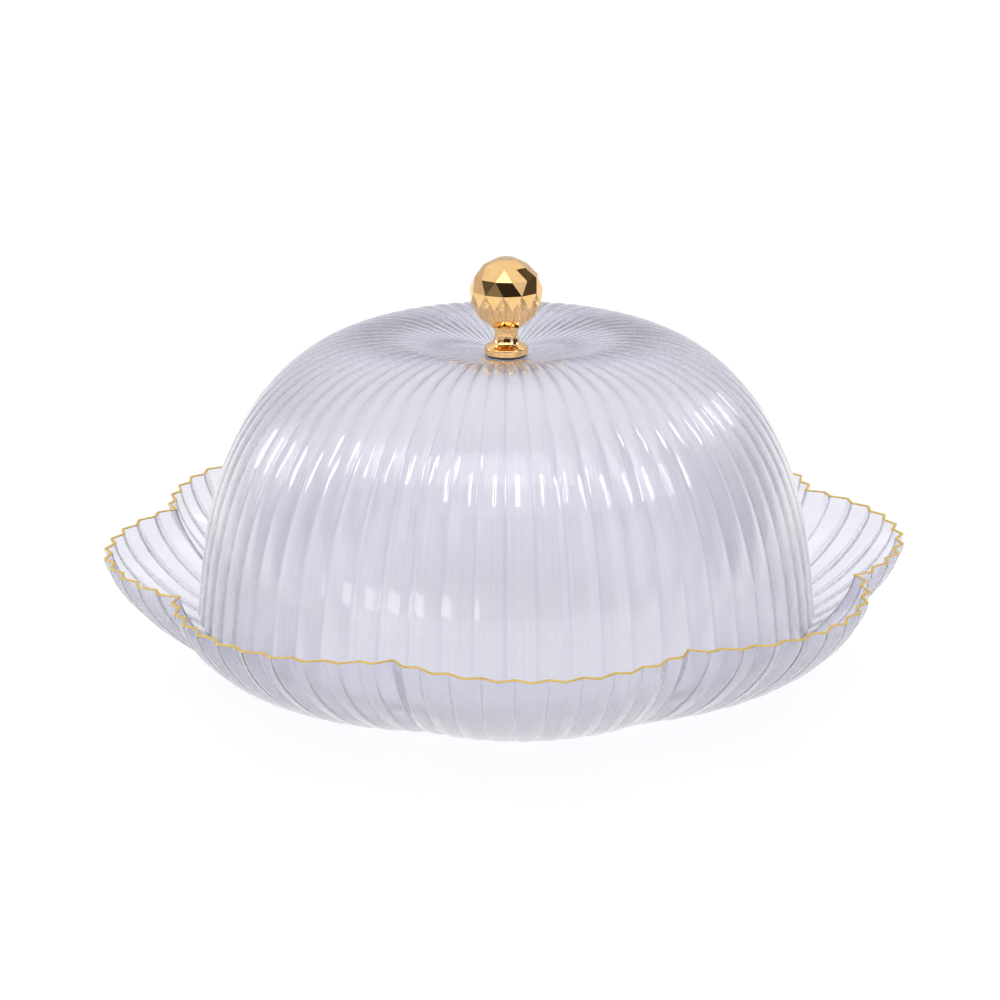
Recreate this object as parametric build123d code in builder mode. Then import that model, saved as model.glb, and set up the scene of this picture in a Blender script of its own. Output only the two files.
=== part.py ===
from build123d import *
import os
from math import cos, pi, radians, sin

# Cheese dome: a fluted clear dome with a faceted gold knob, standing in a pleated
# flower-shaped tray with a gold edge.
# Frame: origin on the table under the middle of the tray, +Z up, millimetres.
# The middles of four of the tray's lobes lie on +X, -X, +Y and -Y.

os.makedirs("parts", exist_ok=True)

# ---- Tray ----
TRAY_HEIGHT = 48.0      # table to the top of the gold edge
FOOT_RADIUS = 82.0      # flat round underside
LOBES = 8
LOBE_RADIUS = 158.8     # rim at the middle of a lobe, mean line of the pleats
NOTCH_RADIUS = 143.6    # rim at the notch between two lobes
LOBE_POINTEDNESS = 0.9  # below 1 rounds the lobes and sharpens the notches
PLEATS = 80
PLEAT_AT_RIM = 1.5      # half the depth of a pleat at the rim
PLEAT_AT_FOOT = 0.4     # and where the pleats run out at the foot
TRAY_WALL = 1.5         # at the floor, thinning to the rim
RIM_WALL = 1.0
TRAY_FLOOR = 2.0
BELLY_LOBE = 1.5        # how far the wall swells out under a lobe
BELLY_NOTCH = 1.45      # and under a notch
FOOT_CURVE = 0.565      # how softly the wall runs into the foot
TRAY_SECTIONS = 8
EDGE_HEIGHT = 0.5       # gold edge
EDGE_OVERHANG = 0.1     # how far the gold stands proud of the wall, each side

# ---- Dome ----
DOME_BASE_Z = 21.6      # the dome's bottom edge, resting on the tray's inward folds
DOME_BASE_RADIUS = 123.6
DOME_CROWN_Z = 133.0    # highest line of the dome, a ring round the knob's hollow
CROWN_RADIUS = 44.4
DOME_TAPER = 10.0       # how much the side wall draws in as it rises
DOME_SHOULDER = 2.76    # fullness of the shoulder, in height
DOME_ROUND = 2.2        # and in radius
DOME_WALL = 2.2
FLUTES = 62
FLUTE_DEPTH_RATIO = 0.0062   # depth of a flute over the radius where it is cut
HOLLOW_RADIUS = 43.5    # hollow in the crown that the knob stands in
HOLLOW_CURVE = 1.3      # 1 is a plain cone
SEAT_RADIUS = 9.6       # flat at the bottom of the hollow
SCREW_HOLE_RADIUS = 1.7

# ---- Knob and its fastening ----
KNOB_Z = 125.9          # underside of the knob's round foot
GASKET_THICKNESS = 0.8
GASKET_RADIUS = 8.0
KNOB_FOOT_RADIUS = 8.7
KNOB_FOOT_HEIGHT = 3.0
FLARE_RADIUS = 8.0      # the stem's flare where it meets the foot
FLARE_HEIGHT = 4.6
STEM_WAIST_RADIUS = 4.6
STEM_NECK_RADIUS = 5.0
COLLAR_RADIUS = 5.6
COLLAR_HEIGHT = 1.0
STEM_HEIGHT = 11.6      # knob foot underside to the ball's flat
SPIGOT_RADIUS = 3.4
SPIGOT_LENGTH = 7.0
BALL_RADIUS = 14.5
BALL_ROW_STEP = 22.3    # degrees of latitude between two rows of facet corners
BALL_LOWEST_ROW = -59.0
BALL_ROWS = 7
FACETS_ROUND = 12
FACET_TURN = 4.8        # degrees
INSERT_RADIUS = 2.3
INSERT_LENGTH = 6.0
THREAD_RADIUS = 1.5     # M3
SCREW_REACH = 12.0      # shank above its head
SCREW_HEAD_RADIUS = 2.8
SCREW_HEAD_HEIGHT = 2.4
RECESS_WIDTH = 0.7      # cross recess in the screw's head
RECESS_LENGTH = 3.2
RECESS_DEPTH = 1.4
WASHER_RADIUS = 4.5
WASHER_THICKNESS = 0.8

SEAT_Z = KNOB_Z - GASKET_THICKNESS         # dome's flat under the gasket
UNDER_DOME_Z = SEAT_Z - DOME_WALL          # the same flat from inside
BALL_FLAT_Z = KNOB_Z + STEM_HEIGHT
BALL_CENTRE_Z = BALL_FLAT_Z - BALL_RADIUS * sin(radians(BALL_LOWEST_ROW))
HEAD_TOP_Z = UNDER_DOME_Z - WASHER_THICKNESS


def swell(rise, belly):
    """How far out the wall is, from 0 at the foot to 1 at the rim, at a rise of 0 to 1."""
    return (1 - (1 - rise) ** belly) ** FOOT_CURVE


def lobe_share(angle):
    """1 at the middle of a lobe and 0 in a notch, for an angle in degrees."""
    return abs(cos(radians(angle * LOBES / 2))) ** LOBE_POINTEDNESS


def wall_at(rise):
    """Thickness of the tray's wall at a rise of 0 to 1."""
    return TRAY_WALL + (RIM_WALL - TRAY_WALL) * rise


def pleated_outline(rise, inset):
    """Corners of the tray's zigzag outline at a rise of 0 to 1, moved inwards by inset."""
    at_lobe = (LOBE_RADIUS - FOOT_RADIUS) * swell(rise, BELLY_LOBE)
    at_notch = (NOTCH_RADIUS - FOOT_RADIUS) * swell(rise, BELLY_NOTCH)
    pleat = PLEAT_AT_FOOT + (PLEAT_AT_RIM - PLEAT_AT_FOOT) * rise
    corners = []
    for k in range(2 * PLEATS):
        angle = 180 * k / PLEATS
        share = lobe_share(angle)
        radius = FOOT_RADIUS + at_notch + share * (at_lobe - at_notch) - inset
        radius += pleat if k % 2 else -pleat
        corners.append((radius * cos(radians(angle)), radius * sin(radians(angle))))
    return corners


def pleated_section(height, rise, inset):
    """One level section of the tray's wall, to loft through."""
    with BuildSketch(Plane.XY.offset(height)) as section:
        with BuildLine():
            Polyline(*pleated_outline(rise, inset), close=True)
        make_face()
    return section.sketch


def pleated_wall(floor_height, top_height, inset_at):
    """All sections of one side of the wall, closer together where it runs into the foot."""
    rises = [(i / (TRAY_SECTIONS - 1)) ** (1 / FOOT_CURVE) for i in range(TRAY_SECTIONS)]
    depth = top_height - floor_height
    return [pleated_section(floor_height + rise * depth, rise, inset_at(rise)) for rise in rises]


# ---- The tray: a pleated bowl with eight lobes ----
with BuildPart() as tray:
    loft(pleated_wall(0, TRAY_HEIGHT - EDGE_HEIGHT, lambda rise: 0))
    loft(pleated_wall(TRAY_FLOOR, TRAY_HEIGHT - EDGE_HEIGHT, wall_at), mode=Mode.SUBTRACT)
tray.part.label = "tray"
export_step(tray.part, "parts/tray.step")

# ---- The gold edge that caps the rim ----
with BuildPart() as tray_gold_edge:
    with BuildSketch(Plane.XY.offset(TRAY_HEIGHT - EDGE_HEIGHT)):
        with BuildLine():
            Polyline(*pleated_outline(1, -EDGE_OVERHANG), close=True)
        make_face()
        with BuildLine():
            Polyline(*pleated_outline(1, RIM_WALL + EDGE_OVERHANG), close=True)
        make_face(mode=Mode.SUBTRACT)
    extrude(amount=EDGE_HEIGHT)
tray_gold_edge.part.label = "tray_gold_edge"
export_step(tray_gold_edge.part, "parts/tray_gold_edge.step")


def fluted_section(height, crest, valley):
    """A level section with one arc for each flute, from valley to valley over its crest."""
    with BuildSketch(Plane.XY.offset(height)) as section:
        with BuildLine():
            for k in range(FLUTES):
                start, middle, end = (2 * pi * (k + step) / FLUTES for step in (-0.5, 0, 0.5))
                ThreePointArc(
                    (valley * cos(start), valley * sin(start)),
                    (crest * cos(middle), crest * sin(middle)),
                    (valley * cos(end), valley * sin(end)),
                )
        make_face()
    return section.sketch


def dome_radius(rise):
    """Outer radius at a rise of 0 at the dome's bottom edge to 1 at the crown."""
    reach = DOME_BASE_RADIUS - CROWN_RADIUS - DOME_TAPER * rise
    return CROWN_RADIUS + reach * (1 - rise ** DOME_SHOULDER) ** (1 / DOME_ROUND)


def hollow_height(radius):
    """Height of the surface of the hollow in the crown."""
    depth = (HOLLOW_RADIUS - radius) / (HOLLOW_RADIUS - SEAT_RADIUS)
    return DOME_CROWN_Z - (DOME_CROWN_Z - SEAT_Z) * depth ** HOLLOW_CURVE


# ---- The dome: flutes run from its edge over the crown and down to the knob ----
DOME_RISES = (0, 0.2, 0.4, 0.58, 0.73, 0.85, 0.93, 0.98, 1)
HOLLOW_RADII = (43.5, 38, 31, 24, 16.5, 9.6)
DOME_DEPTH = DOME_CROWN_Z - DOME_BASE_Z


def outside_section(rise):
    crest = dome_radius(rise)
    return fluted_section(DOME_BASE_Z + rise * DOME_DEPTH, crest, crest * (1 - FLUTE_DEPTH_RATIO))


def hollow_section(radius):
    return fluted_section(hollow_height(radius), radius, radius * (1 + FLUTE_DEPTH_RATIO))


with BuildPart() as dome_cover:
    loft([outside_section(rise) for rise in DOME_RISES])
    loft([hollow_section(radius) for radius in HOLLOW_RADII], mode=Mode.SUBTRACT)
    with BuildSketch(Plane.XZ):
        with BuildLine():
            wall_points = [
                (dome_radius(rise) - DOME_WALL, DOME_BASE_Z + rise * (DOME_DEPTH - DOME_WALL))
                for rise in DOME_RISES
            ]
            side = Spline(*wall_points, tangents=[(-0.09, 1), (-1, 0)])
            under_points = [(radius, hollow_height(radius) - DOME_WALL) for radius in HOLLOW_RADII[1:]]
            under = Spline(side @ 1, *under_points, tangents=[(-1, 0), (-1, -0.3)])
            Polyline(under @ 1, (0, UNDER_DOME_Z), (0, DOME_BASE_Z), side @ 0)
        make_face()
    revolve(axis=Axis.Z, mode=Mode.SUBTRACT)
    with Locations((0, 0, SEAT_Z)):
        Hole(SCREW_HOLE_RADIUS, depth=2 * DOME_WALL)
dome_cover.part.label = "dome_cover"
export_step(dome_cover.part, "parts/dome_cover.step")

# ---- The clear gasket between the dome and the knob ----
with BuildPart() as knob_gasket:
    with BuildSketch(Plane.XY.offset(SEAT_Z)):
        Circle(GASKET_RADIUS)
        Circle(SCREW_HOLE_RADIUS, mode=Mode.SUBTRACT)
    extrude(amount=GASKET_THICKNESS)
knob_gasket.part.label = "knob_gasket"
export_step(knob_gasket.part, "parts/knob_gasket.step")

# ---- The knob's turned stem: a round foot, a flare, a collar and a spigot for the ball ----
with BuildPart() as knob_stem:
    foot_top = KNOB_Z + KNOB_FOOT_HEIGHT
    waist_z = foot_top + FLARE_HEIGHT
    collar_z = BALL_FLAT_Z - COLLAR_HEIGHT
    with BuildSketch(Plane.XZ):
        with BuildLine():
            foot = Polyline(
                (0, KNOB_Z),
                (KNOB_FOOT_RADIUS, KNOB_Z),
                (KNOB_FOOT_RADIUS, foot_top),
                (FLARE_RADIUS, foot_top),
            )
            flare = Spline(foot @ 1, (STEM_WAIST_RADIUS, waist_z), tangents=[(-1, 0.4), (0, 1)])
            neck = TangentArc(flare @ 1, (STEM_NECK_RADIUS, collar_z), tangent=(0, 1))
            Polyline(
                neck @ 1,
                (COLLAR_RADIUS, collar_z),
                (COLLAR_RADIUS, BALL_FLAT_Z),
                (SPIGOT_RADIUS, BALL_FLAT_Z),
                (SPIGOT_RADIUS, BALL_FLAT_Z + SPIGOT_LENGTH),
                (0, BALL_FLAT_Z + SPIGOT_LENGTH),
                foot @ 0,
            )
        make_face()
    revolve(axis=Axis.Z)
    foot_edges = knob_stem.edges().filter_by(GeomType.CIRCLE)
    fillet(foot_edges.filter_by(lambda edge: abs(edge.radius - KNOB_FOOT_RADIUS) < 0.01), 0.6)
    with BuildSketch(Plane.XY.offset(KNOB_Z)):
        Circle(INSERT_RADIUS)
    extrude(amount=INSERT_LENGTH, mode=Mode.SUBTRACT)
    with BuildSketch(Plane.XY.offset(KNOB_Z)):
        Circle(THREAD_RADIUS)
    extrude(amount=SCREW_REACH, mode=Mode.SUBTRACT)
knob_stem.part.label = "knob_stem"
export_step(knob_stem.part, "parts/knob_stem.step")

# ---- The knob's ball: rows of triangular facets, with a socket for the spigot ----
ball_corners = []
for row in range(BALL_ROWS):
    latitude = radians(BALL_LOWEST_ROW + row * BALL_ROW_STEP)
    half_step = 0 if row % 2 == 0 else 180 / FACETS_ROUND
    for k in range(FACETS_ROUND):
        turn = radians(FACET_TURN + half_step + 360 * k / FACETS_ROUND)
        ring = BALL_RADIUS * cos(latitude)
        ball_corners.append((ring * cos(turn), ring * sin(turn), BALL_RADIUS * sin(latitude)))
with BuildPart() as knob_ball:
    with Locations((0, 0, BALL_CENTRE_Z)):
        ConvexPolyhedron(ball_corners)
    with BuildSketch(Plane.XY.offset(BALL_FLAT_Z)):
        Circle(SPIGOT_RADIUS)
    extrude(amount=SPIGOT_LENGTH, mode=Mode.SUBTRACT)
knob_ball.part.label = "knob_ball"
export_step(knob_ball.part, "parts/knob_ball.step")

# ---- The brass threaded insert in the stem ----
with BuildPart() as threaded_insert:
    with BuildSketch(Plane.XY.offset(KNOB_Z)):
        Circle(INSERT_RADIUS)
        Circle(THREAD_RADIUS, mode=Mode.SUBTRACT)
    extrude(amount=INSERT_LENGTH)
threaded_insert.part.label = "threaded_insert"
export_step(threaded_insert.part, "parts/threaded_insert.step")

# ---- The washer under the screw's head, inside the dome ----
with BuildPart() as inner_washer:
    with BuildSketch(Plane.XY.offset(HEAD_TOP_Z)):
        Circle(WASHER_RADIUS)
        Circle(SCREW_HOLE_RADIUS, mode=Mode.SUBTRACT)
    extrude(amount=WASHER_THICKNESS)
inner_washer.part.label = "inner_washer"
export_step(inner_washer.part, "parts/inner_washer.step")

# ---- The pan-head screw with a cross recess, put in from inside the dome ----
with BuildPart() as knob_screw:
    head_bottom = HEAD_TOP_Z - SCREW_HEAD_HEIGHT
    with BuildSketch(Plane.XY.offset(head_bottom)):
        Circle(SCREW_HEAD_RADIUS)
    extrude(amount=SCREW_HEAD_HEIGHT)
    fillet(knob_screw.edges().group_by(Axis.Z)[0], 1.0)
    with BuildSketch(Plane.XY.offset(head_bottom)):
        Rectangle(RECESS_LENGTH, RECESS_WIDTH)
        Rectangle(RECESS_WIDTH, RECESS_LENGTH)
    extrude(amount=RECESS_DEPTH, mode=Mode.SUBTRACT)
    with BuildSketch(Plane.XY.offset(HEAD_TOP_Z)):
        Circle(THREAD_RADIUS)
    extrude(amount=SCREW_REACH)
    chamfer(knob_screw.edges().group_by(Axis.Z)[-1], 0.4)
knob_screw.part.label = "knob_screw"
export_step(knob_screw.part, "parts/knob_screw.step")
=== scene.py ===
"""The looks of the cheese dome: clear pleated tray with a gold edge, fluted clear dome, gold knob."""

import math

import bpy
import numpy as np
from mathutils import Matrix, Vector


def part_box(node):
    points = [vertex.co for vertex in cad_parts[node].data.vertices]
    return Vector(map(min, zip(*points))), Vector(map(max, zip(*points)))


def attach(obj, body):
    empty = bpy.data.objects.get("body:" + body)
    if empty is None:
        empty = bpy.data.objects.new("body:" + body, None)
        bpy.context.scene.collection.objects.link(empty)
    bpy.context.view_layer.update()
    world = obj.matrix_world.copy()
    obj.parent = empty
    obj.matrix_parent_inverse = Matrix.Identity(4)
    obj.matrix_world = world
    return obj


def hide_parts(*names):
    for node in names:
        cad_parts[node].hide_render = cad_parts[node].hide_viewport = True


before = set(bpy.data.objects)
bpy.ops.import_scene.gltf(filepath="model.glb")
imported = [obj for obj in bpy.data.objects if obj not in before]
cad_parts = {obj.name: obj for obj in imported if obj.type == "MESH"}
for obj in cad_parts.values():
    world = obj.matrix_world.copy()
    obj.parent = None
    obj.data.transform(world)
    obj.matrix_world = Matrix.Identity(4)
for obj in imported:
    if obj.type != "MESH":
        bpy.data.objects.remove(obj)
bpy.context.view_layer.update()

MM = 0.001

# ---- Heights that the frame gives ----
TRAY_TOP_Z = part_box("tray")[1].z
EDGE_BOTTOM_Z, EDGE_TOP_Z = (corner.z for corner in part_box("tray_gold_edge"))
DOME_BASE_Z, DOME_CROWN_Z = (corner.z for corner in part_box("dome_cover"))
STEM_BOTTOM_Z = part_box("knob_stem")[0].z

# ---- Shape of the tray and its gold edge ----
LOBES = 8
LOBE_POINTEDNESS = 0.9
PLEATS = 80
PLEAT_AT_RIM = 1.5 * MM
PLEAT_AT_FOOT = 0.4 * MM
LOBE_RADIUS = 158.8 * MM
NOTCH_RADIUS = 143.6 * MM
FOOT_RADIUS = 82 * MM
BELLY_LOBE = 1.5
BELLY_NOTCH = 1.45
FOOT_CURVE = 0.565
TRAY_WALL = 1.5 * MM                 # at the floor, thinning to the rim
RIM_WALL = 1.0 * MM
TRAY_FLOOR = 2 * MM
TRAY_STEPS = 44                      # steps between rows, from the foot to the rim
RIM_ROW = 0.998                      # a row just under the rim keeps the wall's shading true
FLAT_RINGS = (0.4, 0.75, 0.93)       # rings in the flat foot and floor, as shares of their outline
FOLD_SOFTNESS = 0.07                 # share of half a pleat that the rounding of a fold takes
TRAY_FOLD_SHADE_WIDTH = 0.13               # share of half a pleat that the painted shade of an inward fold takes
TRAY_FOLD_SHADE_FADE = 10 * MM             # the height over which that painted shade fades in above the floor
EDGE_OVERHANG = 0.1 * MM
EDGE_ROUNDING = 0.18 * MM

# ---- Shape of the dome ----
FLUTES = 62
FLUTE_STEPS = 14                     # columns of points across each flute
FLUTE_DEPTH = 0.77 * MM
FULL_FLUTE_RADIUS = 55 * MM          # nearer the knob the flutes grow shallower
DOME_BASE_RADIUS = 123.6 * MM
CROWN_RADIUS = 44.4 * MM
DOME_TAPER = 10 * MM
DOME_SHOULDER = 2.76
DOME_ROUND = 2.2
DOME_WALL = 2.2 * MM
DOME_ROWS = 110
BASE_ROW = 0.1 * MM                  # a row just above the bottom edge keeps the wall's shading true
SIDE_SAMPLES = 400                   # points of the outline before its rows are spaced evenly
HOLLOW_SAMPLES = 80
HOLLOW_RADIUS = 43.5 * MM
HOLLOW_CURVE = 1.3
SEAT_RADIUS = 9.6 * MM
GASKET_THICKNESS = 0.8 * MM
SEAT_Z = STEM_BOTTOM_Z - GASKET_THICKNESS
SCREW_HOLE_RADIUS = 1.7 * MM
FOLD_SHADE_RADII = (80 * MM, 40 * MM)   # the painted shade of the valleys grows from the first to the second
FOLD_SHADE_WIDTHS = (0.2, 0.4)          # share of half a flute that the painted shade takes at each
FOLD_SHADE_DEPTHS = (0.25, 1)           # how much of the painted shade there is at each


# ---- Meshes ----
def mesh_object(name, points, faces, materials, smooth=True):
    """A mesh object from a list of points and a list of faces."""
    mesh = bpy.data.meshes.new(name)
    mesh.from_pydata([tuple(p) for p in points], [], [tuple(f) for f in faces])
    mesh.validate()
    mesh.polygons.foreach_set("use_smooth", [smooth] * len(mesh.polygons))
    for material in materials:
        mesh.materials.append(material)
    mesh.update()
    thing = bpy.data.objects.new(name, mesh)
    bpy.context.scene.collection.objects.link(thing)
    return thing


def mark_fold_shade_and_roughness(thing, rows, marks):
    """Keeps, for each point, how near it is to a fold line, from 0 to 1, the mask of the painted shade and
    the extra roughness along the folds. marks holds a list for each row.
    """
    values = np.concatenate([np.zeros(1) if len(row) == 1 else mark for row, mark in zip(rows, marks)])
    fold = thing.data.attributes.new("fold", "FLOAT", "POINT")
    fold.data.foreach_set("value", values.astype(np.float32))


def wrap_rows(name, rows, materials):
    """A closed mesh from rows of points round the Z axis. Where the first and last rows are one point
    each, they close the ends; otherwise the last row joins the first."""
    points, starts = [], []
    for row in rows:
        starts.append(len(points))
        points.extend(row)
    closed_ends = len(rows[0]) == 1 and len(rows[-1]) == 1
    pairs = len(rows) - 1 if closed_ends else len(rows)
    faces = []
    for i in range(pairs):
        after = (i + 1) % len(rows)
        lower, upper = rows[i], rows[after]
        a, b = starts[i], starts[after]
        count = max(len(lower), len(upper))
        for k in range(count):
            n = (k + 1) % count
            if len(lower) == 1:
                faces.append((a, b + n, b + k))
            elif len(upper) == 1:
                faces.append((a + k, a + n, b))
            else:
                faces.append((a + k, a + n, b + n, b + k))
    return mesh_object(name, points, faces, materials)


def ring(radii, height, angles):
    """A row of points at one height, with one radius for all or one for each angle."""
    return np.column_stack([radii * np.cos(angles), radii * np.sin(angles), np.full(len(angles), height)])


def rounded_zigzag(place):
    """-1 at an inward fold (place 0) and 1 at an outward fold (place 1), with the folds a little rounded."""
    from_out = np.abs(place - 1)
    from_in = 1 - from_out
    wave = 1 - 2 * from_out
    wave = np.where(from_out < FOLD_SOFTNESS, 1 - FOLD_SOFTNESS - from_out ** 2 / FOLD_SOFTNESS, wave)
    return np.where(from_in < FOLD_SOFTNESS, -1 + FOLD_SOFTNESS + from_in ** 2 / FOLD_SOFTNESS, wave)


def swell(rise, belly):
    """How far the wall has spread, from 0 at the foot (rise 0) to 1 at the rim (rise 1)."""
    return (1 - (1 - rise) ** belly) ** FOOT_CURVE


# The columns of the tray stand closest at its folds. Each fold is 1 on from the one before.
PLEAT_FRACTIONS = (0, 0.02, 0.045, 0.075, 0.13, 0.5, 0.87, 0.925, 0.955, 0.98)
PLEAT_COLUMNS = np.array([fold + step for fold in range(2 * PLEATS) for step in PLEAT_FRACTIONS])
PLEAT_ANGLES = PLEAT_COLUMNS * math.pi / PLEATS
PLEAT_PLACES = PLEAT_COLUMNS % 2
PLEAT_WAVE = rounded_zigzag(PLEAT_PLACES)
LOBE_SHARE = np.abs(np.cos(PLEAT_ANGLES * LOBES / 2)) ** LOBE_POINTEDNESS


def tray_row(rise, height, inset):
    """A row of the pleated wall at a rise of 0 to 1, moved inwards by inset."""
    at_lobe = (LOBE_RADIUS - FOOT_RADIUS) * swell(rise, BELLY_LOBE)
    at_notch = (NOTCH_RADIUS - FOOT_RADIUS) * swell(rise, BELLY_NOTCH)
    pleat = PLEAT_AT_FOOT + (PLEAT_AT_RIM - PLEAT_AT_FOOT) * rise
    radii = FOOT_RADIUS + at_notch + LOBE_SHARE * (at_lobe - at_notch) - inset + pleat * PLEAT_WAVE
    return ring(radii, height, PLEAT_ANGLES)


def make_tray(plastic):
    """The bowl's outside from its foot up to the rim, then its inside down to the floor."""
    rises = (np.arange(TRAY_STEPS + 1) / TRAY_STEPS) ** (1 / FOOT_CURVE)
    rises = np.insert(rises, TRAY_STEPS, RIM_ROW)
    outside = [tray_row(rise, rise * TRAY_TOP_Z, 0) for rise in rises]
    inside = []
    for rise in rises:
        wall = TRAY_WALL + (RIM_WALL - TRAY_WALL) * rise
        inside.append(tray_row(rise, TRAY_FLOOR + rise * (TRAY_TOP_Z - TRAY_FLOOR), wall))
    foot = [outside[0] * (share, share, 1) for share in FLAT_RINGS]
    floor = [inside[0] * (share, share, 1) for share in FLAT_RINGS]
    rows = [[(0, 0, 0)], *foot, *outside, *inside[::-1], *floor[::-1], [(0, 0, TRAY_FLOOR)]]
    tray = wrap_rows("clear_tray", rows, [plastic])
    # The fold mark below carries painted shade: a darker, bluer tint along the inward folds that fades in
    # above the floor.
    from_fold = np.minimum(PLEAT_PLACES, 2 - PLEAT_PLACES)
    fold = np.clip(1 - from_fold / TRAY_FOLD_SHADE_WIDTH, 0, 1)
    fade = [np.clip((row[0][2] - TRAY_FLOOR) / TRAY_FOLD_SHADE_FADE, 0, 1) for row in rows]
    mark_fold_shade_and_roughness(tray, rows, [share * fold for share in fade])
    return tray


def make_gold_edge(gold):
    """A cap on the rim with rounded corners."""
    outer, inner = -EDGE_OVERHANG, RIM_WALL + EDGE_OVERHANG
    near = 0.3 * EDGE_ROUNDING   # the middle of a rounded corner lies this far inside the sharp one
    outline = [
        (outer, EDGE_BOTTOM_Z),
        (outer, EDGE_TOP_Z - EDGE_ROUNDING),
        (outer + near, EDGE_TOP_Z - near),
        (outer + EDGE_ROUNDING, EDGE_TOP_Z),
        (inner - EDGE_ROUNDING, EDGE_TOP_Z),
        (inner - near, EDGE_TOP_Z - near),
        (inner, EDGE_TOP_Z - EDGE_ROUNDING),
        (inner, EDGE_BOTTOM_Z),
    ]
    return wrap_rows("gold_edge", [tray_row(1, height, inset) for inset, height in outline], [gold])


# The columns of the dome. Across a flute, ACROSS is 1 in both its valleys and 0 on its crest.
FLUTE_COLUMNS = np.arange(FLUTES * FLUTE_STEPS)
FLUTE_ANGLES = (FLUTE_COLUMNS / FLUTE_STEPS - 0.5) * 2 * math.pi / FLUTES
ACROSS = np.abs((FLUTE_COLUMNS % FLUTE_STEPS) / FLUTE_STEPS * 2 - 1)
FLUTE_DIP = ACROSS ** 2


def dome_radius(rise):
    """Outer radius of the side at a rise of 0 at the bottom edge to 1 at the crown."""
    reach = DOME_BASE_RADIUS - CROWN_RADIUS - DOME_TAPER * rise
    return CROWN_RADIUS + reach * (1 - rise ** DOME_SHOULDER) ** (1 / DOME_ROUND)


def hollow_height(radius):
    """Height of the hollow in the crown, which falls to the knob's seat."""
    depth = (HOLLOW_RADIUS - radius) / (HOLLOW_RADIUS - SEAT_RADIUS)
    return DOME_CROWN_Z - (DOME_CROWN_Z - SEAT_Z) * depth ** HOLLOW_CURVE


def dome_profile():
    """The crest line of the dome's outside, from its bottom edge to the knob's seat, evenly spaced."""
    rises = 1 - (1 - np.linspace(0, 1, SIDE_SAMPLES)) ** 2
    side = np.column_stack([dome_radius(rises), DOME_BASE_Z + rises * (DOME_CROWN_Z - DOME_BASE_Z)])
    radii = np.linspace(HOLLOW_RADIUS, SEAT_RADIUS, HOLLOW_SAMPLES)
    hollow = np.column_stack([radii, hollow_height(radii)])
    line = np.vstack([side, hollow])
    along = np.concatenate([[0], np.cumsum(np.hypot(*np.diff(line, axis=0).T))])
    places = np.insert(np.linspace(0, along[-1], DOME_ROWS), 1, BASE_ROW)
    return np.column_stack([np.interp(places, along, line[:, 0]), np.interp(places, along, line[:, 1])])


def normals_of(line):
    """Unit outward normals of a profile line that runs from the bottom edge inwards."""
    along = np.gradient(line, axis=0)
    normals = np.column_stack([along[:, 1], -along[:, 0]])
    return normals / np.linalg.norm(normals, axis=1)[:, None]


def fluted_row(radius, height, normal):
    """A row of the dome's outside, with its valleys sunk along the normal."""
    dip = FLUTE_DEPTH * min(1, radius / FULL_FLUTE_RADIUS) * FLUTE_DIP
    row = ring(radius - dip * normal[0], height, FLUTE_ANGLES)
    row[:, 2] -= dip * normal[1]
    return row


def dome_fold_shade_marks(line):
    """For each fluted row, how near its points are to a valley, wider and stronger towards the knob: the mask
    of the painted shade in the valleys.
    """
    inwards = np.interp(-line[:, 0], [-radius for radius in FOLD_SHADE_RADII], (0, 1))
    widths = np.interp(inwards, (0, 1), FOLD_SHADE_WIDTHS)
    depths = np.interp(inwards, (0, 1), FOLD_SHADE_DEPTHS)
    return [np.clip((ACROSS - 1 + width) / width, 0, 1) * depth for width, depth in zip(widths, depths)]


def make_dome(outer_plastic, inner_plastic):
    """Fluted outside, plain inside, a flat seat with the screw hole in the middle."""
    line = dome_profile()
    normals = normals_of(line)
    inside = line - normals * DOME_WALL
    inside[0, 1] = DOME_BASE_Z
    rows = [fluted_row(radius, height, normal) for (radius, height), normal in zip(line, normals)]
    rows.append(ring(SCREW_HOLE_RADIUS, SEAT_Z, FLUTE_ANGLES))
    outside_faces = len(rows) * len(FLUTE_ANGLES)
    rows.append(ring(SCREW_HOLE_RADIUS, SEAT_Z - DOME_WALL, FLUTE_ANGLES))
    rows += [ring(radius, height, FLUTE_ANGLES) for radius, height in inside[::-1]]
    dome = wrap_rows("clear_dome", rows, [outer_plastic, inner_plastic])
    indices = [0 if i < outside_faces else 1 for i in range(len(dome.data.polygons))]
    dome.data.polygons.foreach_set("material_index", indices)
    unmarked = [np.zeros(len(FLUTE_ANGLES))] * (len(rows) - len(line))
    # The valley marks carry the dome's painted shade.
    mark_fold_shade_and_roughness(dome, rows, dome_fold_shade_marks(line) + unmarked)
    return dome


# ---- Materials ----
LINE_SHADE = (-0.06, 0.16)   # least and most that the hairlines add to the share of the painted fold shade, as painted shade along the lines


def new_material(name):
    """A material, its node tree and its bare Principled shader."""
    material = bpy.data.materials.new(name)
    material.use_nodes = True
    tree = material.node_tree
    return material, tree, tree.nodes["Principled BSDF"]


def feed(tree, node, inputs):
    """Gives each input of a node its value, or a link where the value is another node's output."""
    for key, value in inputs.items():
        if isinstance(value, bpy.types.NodeSocket):
            tree.links.new(value, node.inputs[key])
        else:
            node.inputs[key].default_value = value


def add_node(tree, kind, inputs, **settings):
    """A new node with its settings, fed with its inputs."""
    node = tree.nodes.new(kind)
    for setting, value in settings.items():
        setattr(node, setting, value)
    feed(tree, node, inputs)
    return node


def noise(tree, scale, detail=2.0):
    """Noise in the object's own metres."""
    place = add_node(tree, "ShaderNodeTexCoord", {})
    texture = add_node(tree, "ShaderNodeTexNoise", {
        "Scale": scale, "Detail": detail, "Vector": place.outputs["Object"],
    })
    return texture.outputs["Fac"]


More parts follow.
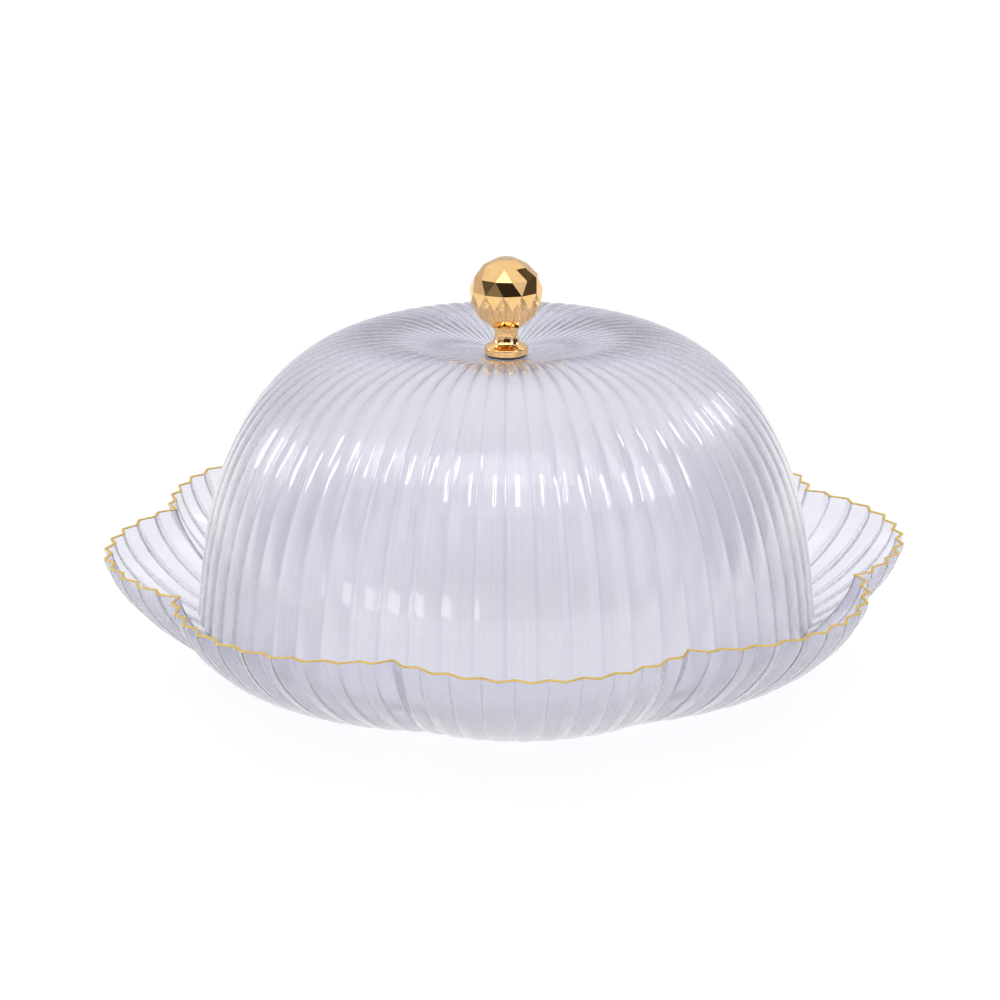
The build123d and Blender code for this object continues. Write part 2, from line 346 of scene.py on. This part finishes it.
def spread(tree, value, low, high):
    """A value from 0.3 to 0.7 spread over low to high."""
    change = add_node(tree, "ShaderNodeMapRange", {
        "From Min": 0.3, "From Max": 0.7, "To Min": low, "To Max": high, "Value": value,
    })
    return change.outputs["Result"]


def mix_colours(tree, share, first, second):
    """A colour between the first and the second, by share."""
    tone = add_node(tree, "ShaderNodeMix", {"Factor": share, "A": first, "B": second}, data_type="RGBA")
    return tone.outputs["Result"]


def hairlines(tree, depth):
    """Fine lines that run up the dome with its flutes. Gives their pattern, and the normals of lines as
    deep as depth where the dome is widest."""
    place = add_node(tree, "ShaderNodeTexCoord", {})
    level = add_node(
        tree, "ShaderNodeVectorMath", {0: place.outputs["Object"], 1: (1, 1, 0)}, operation="MULTIPLY"
    ).outputs["Vector"]
    turn = add_node(tree, "ShaderNodeVectorMath", {0: level}, operation="NORMALIZE")
    lines = add_node(tree, "ShaderNodeTexNoise", {
        "Scale": 100, "Detail": 1.5, "Vector": turn.outputs["Vector"],
    })
    reach = add_node(tree, "ShaderNodeVectorMath", {0: level}, operation="LENGTH")
    share = add_node(
        tree, "ShaderNodeMath", {0: reach.outputs["Value"], 1: depth / DOME_BASE_RADIUS}, operation="MULTIPLY"
    )
    bump = add_node(tree, "ShaderNodeBump", {
        "Strength": 1.0, "Distance": share.outputs["Value"], "Height": lines.outputs["Fac"],
    })
    return lines.outputs["Fac"], bump.outputs["Normal"]


def clear_plastic(name, tint, painted_fold_shade, rough, ripple, coat, line_depth=0, fold_rough=0):
    """Moulded clear plastic that lets lamps through. Along its folds it is rougher and has painted shade, a
    deeper, bluer tint for the dark lines the folds show, with the faint ripple of its mould under a glossy
    skin, and with hairlines if line_depth is given."""
    material, tree, plastic = new_material(name)
    fold_shade_and_roughness_mask = add_node(tree, "ShaderNodeAttribute", {}, attribute_name="fold").outputs["Fac"]
    bump = add_node(tree, "ShaderNodeBump", {
        "Strength": 0.25, "Distance": ripple, "Height": noise(tree, scale=90, detail=3.0),
    })
    painted_shade_share = fold_shade_and_roughness_mask
    if line_depth:
        pattern, normal = hairlines(tree, line_depth)
        feed(tree, bump, {"Normal": normal})
        feed(tree, plastic, {"Coat Normal": normal})
        # The hairline pattern adds painted shade: it moves the tint towards the fold's painted shade along
        # its lines.
        lined = {0: fold_shade_and_roughness_mask, 1: spread(tree, pattern, *LINE_SHADE)}
        painted_shade_share = add_node(tree, "ShaderNodeMath", lined, use_clamp=True).outputs["Value"]
    softer = add_node(
        tree,
        "ShaderNodeMath",
        {0: fold_shade_and_roughness_mask, 1: fold_rough, 2: spread(tree, noise(tree, scale=60), *rough)},
        operation="MULTIPLY_ADD",
    )
    feed(tree, plastic, {
        # Base Color: the plastic's tint, moved towards painted shade near folds and hairlines.
        "Base Color": mix_colours(tree, painted_shade_share, (*tint, 1), (*painted_fold_shade, 1)),
        "Transmission Weight": 1,
        "IOR": 1.4,
        "Roughness": softer.outputs["Value"],
        "Normal": bump.outputs["Normal"],
        "Coat Weight": coat,
        "Coat Roughness": 0.03,
        "Coat IOR": 1.5,
    })
    through_tint = (*(channel ** 0.5 for channel in tint), 1)
    through = add_node(tree, "ShaderNodeBsdfTransparent", {"Color": through_tint})
    path = add_node(tree, "ShaderNodeLightPath", {})
    mix = add_node(tree, "ShaderNodeMixShader", {
        "Fac": path.outputs["Is Shadow Ray"], 1: plastic.outputs["BSDF"], 2: through.outputs["BSDF"],
    })
    feed(tree, tree.nodes["Material Output"], {"Surface": mix.outputs["Shader"]})
    return material


def gold_plating(name, colour, rough):
    """Gold that varies a little in tone, with faint polishing marks."""
    material, tree, gold = new_material(name)
    red, green, blue = colour
    deeper = (red * 0.93, green * 0.86, blue * 0.75, 1)
    marks = add_node(tree, "ShaderNodeBump", {
        "Strength": 0.12, "Distance": 0.02 * MM, "Height": noise(tree, scale=2500),
    })
    feed(tree, gold, {
        "Metallic": 1,
        "Base Color": mix_colours(tree, spread(tree, noise(tree, scale=220), 0, 1), (*colour, 1), deeper),
        "Roughness": spread(tree, noise(tree, scale=900, detail=4.0), *rough),
        "Normal": marks.outputs["Normal"],
    })
    return material


def turned_metal(name, colour, rough):
    """Bright small hardware with fine turning marks."""
    material, tree, metal = new_material(name)
    feed(tree, metal, {
        "Metallic": 1,
        "Base Color": (*colour, 1),
        "Roughness": spread(tree, noise(tree, scale=1500, detail=3.0), *rough),
    })
    return material


TRAY_TINT = (0.84, 0.835, 0.89)
# The tray's fold colour is painted shade, a darker, bluer tint for the dark lines that its folds show.
TRAY_PAINTED_FOLD_SHADE = (0.78, 0.78, 0.92)
DOME_TINT = (0.862, 0.857, 0.888)
# The dome's fold colour is painted shade, a dark blue tint for the dark lines in its valleys.
DOME_PAINTED_FOLD_SHADE = (0.4, 0.4, 0.7)
FROST = (0.2, 0.26)         # least and most roughness
RIPPLE = 0.1 * MM
tray_plastic = clear_plastic(
    "tray_plastic", TRAY_TINT, TRAY_PAINTED_FOLD_SHADE, FROST, 2 * RIPPLE, coat=0.5, fold_rough=0.35
)
dome_plastic = clear_plastic(
    "dome_plastic", DOME_TINT, DOME_PAINTED_FOLD_SHADE, FROST, RIPPLE, coat=1.0, line_depth=0.11 * MM
)
inside_plastic = clear_plastic("inside_plastic", DOME_TINT, DOME_TINT, FROST, RIPPLE, coat=0.0)
gasket_plastic = clear_plastic("gasket_plastic", DOME_TINT, DOME_TINT, (0.2, 0.3), RIPPLE, coat=0.0)
edge_gold = gold_plating("edge_gold", (0.82, 0.61, 0.17), (0.4, 0.55))
knob_gold = gold_plating("knob_gold", (0.95, 0.63, 0.29), (0.03, 0.07))
nickel = turned_metal("nickel", (0.7, 0.69, 0.67), (0.15, 0.3))
brass = turned_metal("brass", (0.8, 0.55, 0.25), (0.2, 0.35))


# ---- The pieces ----
def finish_piece(piece, body, slot, *replaced):
    """A new piece rides on a body in place of the CAD nodes that it replaces."""
    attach(piece, body)
    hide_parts(*replaced)


def repaint(node, material):
    """A carried-over CAD node gets its material."""
    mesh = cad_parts[node].data
    mesh.materials.clear()
    mesh.materials.append(material)


finish_piece(make_tray(tray_plastic), "tray", "clear_plastic", "tray")
finish_piece(make_gold_edge(edge_gold), "tray", "gold_plating", "tray_gold_edge")
finish_piece(make_dome(dome_plastic, inside_plastic), "lid", "clear_plastic", "dome_cover")
repaint("knob_ball", knob_gold)
repaint("knob_stem", knob_gold)
repaint("knob_gasket", gasket_plastic)
repaint("inner_washer", nickel)
repaint("knob_screw", nickel)
repaint("threaded_insert", brass)


# ---- Floor, light and camera. Azimuth 0 is in front, 90 to the right ----
FLOOR_REACH = 8.0
CURTAIN_REACH = 2.0
CURTAIN_COLUMNS = 9
CURTAINS = (   # name, azimuths of its sides, heights of its bottom and top, brightness
    ("left_curtain", (-88, -62), (0.55, 1.4), 0.12),
    ("front_left_curtain", (-62, -30), (0.15, 0.9), 0.25),
    ("front_curtain", (-30, 32), (0.15, 1.5), 0.03),
    ("right_curtain", (62, 116), (0.1, 2.3), 0.08),
)
STRIP_DISTANCE = 1.3
STRIP_WIDTH = 0.13
STRIP_POWER = 30                     # watts for each square metre
STRIP_AIM = 0.08                     # the height that the strips face
STRIPS = (     # name, azimuth, elevation, length
    ("left_strip", -112, 21, 0.3),
    ("front_left_strip", -68, 47, 0.36),
    ("front_strip", -4, 47, 0.34),
    ("front_right_strip", 52, 38, 0.32),
    ("right_strip", 108, 34, 0.3),
)
SKY_TINT = (0.98, 0.98, 1.08)
SKY_LEVELS = (   # sine of the elevation, brightness
    (0.0, 0.7),
    (0.2, 0.68),
    (0.45, 0.72),
    (0.7, 1.15),
    (1.0, 1.2),
)


def glowing_material(name, colour, glow, strength, rough, shine=0.5):
    """A plain material with a light of its own."""
    material, tree, paint = new_material(name)
    feed(tree, paint, {
        "Base Color": (*colour, 1),
        "Roughness": rough,
        "Specular IOR Level": shine,
        "Emission Color": (*glow, 1),
        "Emission Strength": strength,
    })
    return material


def make_floor():
    """A pale light table."""
    paper = glowing_material("floor_paper", (0.3, 0.3, 0.302), (1, 1, 1), 0.74, rough=0.9)
    corners = [(x * FLOOR_REACH, y * FLOOR_REACH, 0) for x, y in ((-1, -1), (1, -1), (1, 1), (-1, 1))]
    mesh_object("floor", corners, [(0, 1, 2, 3)], [paper], smooth=False)


def show_in_reflections(thing):
    """A light or a curtain shows in reflections alone: it isn't seen itself or through the plastic, and
    it lights no plain surface."""
    thing.visible_camera = False
    thing.visible_diffuse = False
    thing.visible_transmission = False


def make_curtain(name, turns, heights, shade):
    """A dark curtain round the table, which draws the dark facets of the gold."""
    cloth = glowing_material(name + "_cloth", (0, 0, 0), (1, 0.95, 0.85), shade, rough=1, shine=0)
    angles = np.radians(np.linspace(*turns, CURTAIN_COLUMNS))
    points = [
        (CURTAIN_REACH * math.sin(angle), -CURTAIN_REACH * math.cos(angle), height)
        for height in heights
        for angle in angles
    ]
    faces = [
        (k, k + 1, k + 1 + CURTAIN_COLUMNS, k + CURTAIN_COLUMNS) for k in range(CURTAIN_COLUMNS - 1)
    ]
    curtain = mesh_object(name, points, faces, [cloth], smooth=False)
    show_in_reflections(curtain)
    curtain.visible_shadow = False


def stand_round(thing, azimuth, elevation, distance, aim):
    """Puts a light or the camera round the object and turns it to the height aim on the Z axis."""
    a, e = math.radians(azimuth), math.radians(elevation)
    away = Vector((math.sin(a) * math.cos(e), -math.cos(a) * math.cos(e), math.sin(e)))
    thing.location = Vector((0, 0, aim)) + distance * away
    thing.rotation_euler = away.to_track_quat("Z", "Y").to_euler()


def soft_light(name, azimuth, elevation, distance, size, power, aim):
    """A rectangle of light, with its width and height as its size."""
    data = bpy.data.lights.new(name, "AREA")
    data.shape = "RECTANGLE"
    data.size, data.size_y = size
    data.energy = power
    light = bpy.data.objects.new(name, data)
    bpy.context.scene.collection.objects.link(light)
    stand_round(light, azimuth, elevation, distance, aim)
    show_in_reflections(light)


def make_world():
    """Grey round the horizon and brighter overhead, behind a white backdrop that only the camera sees."""
    world = bpy.data.worlds.new("studio")
    bpy.context.scene.world = world
    world.use_nodes = True
    tree = world.node_tree
    place = add_node(tree, "ShaderNodeTexCoord", {})
    split = add_node(tree, "ShaderNodeSeparateXYZ", {"Vector": place.outputs["Generated"]})
    ramp = add_node(tree, "ShaderNodeValToRGB", {"Fac": split.outputs["Z"]})
    stops = ramp.color_ramp
    stops.interpolation = "B_SPLINE"
    while len(stops.elements) < len(SKY_LEVELS):
        stops.elements.new(0.5)
    for element, (position, level) in zip(stops.elements, SKY_LEVELS):
        element.position = position
        element.color = (*(level * channel for channel in SKY_TINT), 1)
    path = add_node(tree, "ShaderNodeLightPath", {})
    seen = mix_colours(tree, path.outputs["Is Camera Ray"], ramp.outputs["Color"], (1, 1, 1, 1))
    feed(tree, tree.nodes["Background"], {"Color": seen, "Strength": 1.0})


def make_camera():
    """Aimed at the middle of the rim's plane, from a little left of the front."""
    data = bpy.data.cameras.new("camera")
    camera = bpy.data.objects.new("camera", data)
    bpy.context.scene.collection.objects.link(camera)
    stand_round(camera, azimuth=-5.6, elevation=18.58, distance=1.408, aim=EDGE_TOP_Z)
    data.sensor_width = 36
    data.lens = 126.7
    data.shift_x = -0.0063
    data.shift_y = 0.0405
    data.clip_start = 0.01
    bpy.context.scene.camera = camera


make_floor()
make_world()
for curtain in CURTAINS:
    make_curtain(*curtain)
make_camera()
for name, azimuth, elevation, length in STRIPS:
    power = STRIP_POWER * STRIP_WIDTH * length
    soft_light(name, azimuth, elevation, STRIP_DISTANCE, (STRIP_WIDTH, length), power, STRIP_AIM)
soft_light("low_card", -44, 4, distance=1.0, size=(0.45, 0.09), power=0.36, aim=0.06)
soft_light("overhead_box", -5, 58, distance=1.35, size=(1.5, 0.42), power=2.6, aim=0.12)

scene = bpy.context.scene
scene.view_settings.view_transform = "Standard"
scene.cycles.max_bounces = 24
scene.cycles.transmission_bounces = 24
scene.cycles.transparent_max_bounces = 32
